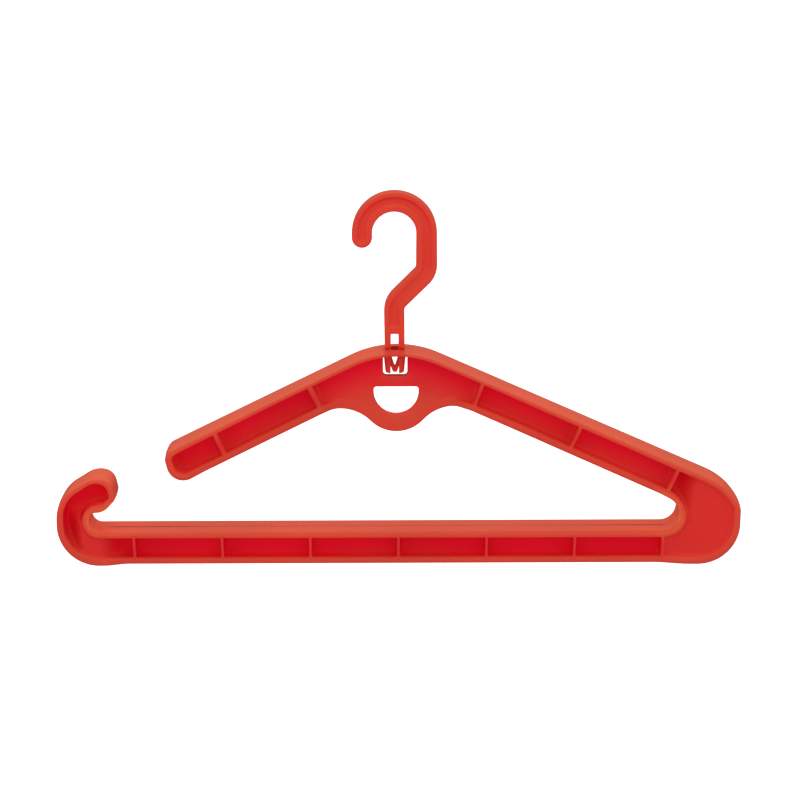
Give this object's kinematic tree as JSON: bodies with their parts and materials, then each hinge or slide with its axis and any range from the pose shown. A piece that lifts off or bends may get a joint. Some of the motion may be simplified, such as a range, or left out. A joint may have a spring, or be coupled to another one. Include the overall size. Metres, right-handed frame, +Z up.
{
  "type": "wetsuit hanger",
  "caption": "Open-ended moulded plastic hanger with wide ribbed shoulders, a straight bar ending in an upturned curl, a D-shaped eye, and a snap-in swivelling hook.",
  "frame": {"origin": "the rod seat: the middle of the hook's inner crown, on the swivel axis, where the hanger hangs on its rod", "axes": "+X along the bar from the open curl to the closed end, +Y through the hanger's depth away from the side seen first, +Z up along the swivel axis"},
  "size_m": [0.4827, 0.035, 0.265],
  "materials": {
    "body_plastic": "semi-gloss moulded polypropylene, orange-red",
    "hook_plastic": "semi-gloss moulded polypropylene, orange-red"
  },
  "bodies": {
    "hook": {"swivel_hook": "hook_plastic"},
    "body": {"hanger_body": "body_plastic"}
  },
  "joints": [
    {"name": "hook_swivel", "type": "hinge", "parent": "hook", "child": "body", "pos_m": [0, 0, -0.099], "axis": [0, 0, 1], "continuous": true}
  ]
}
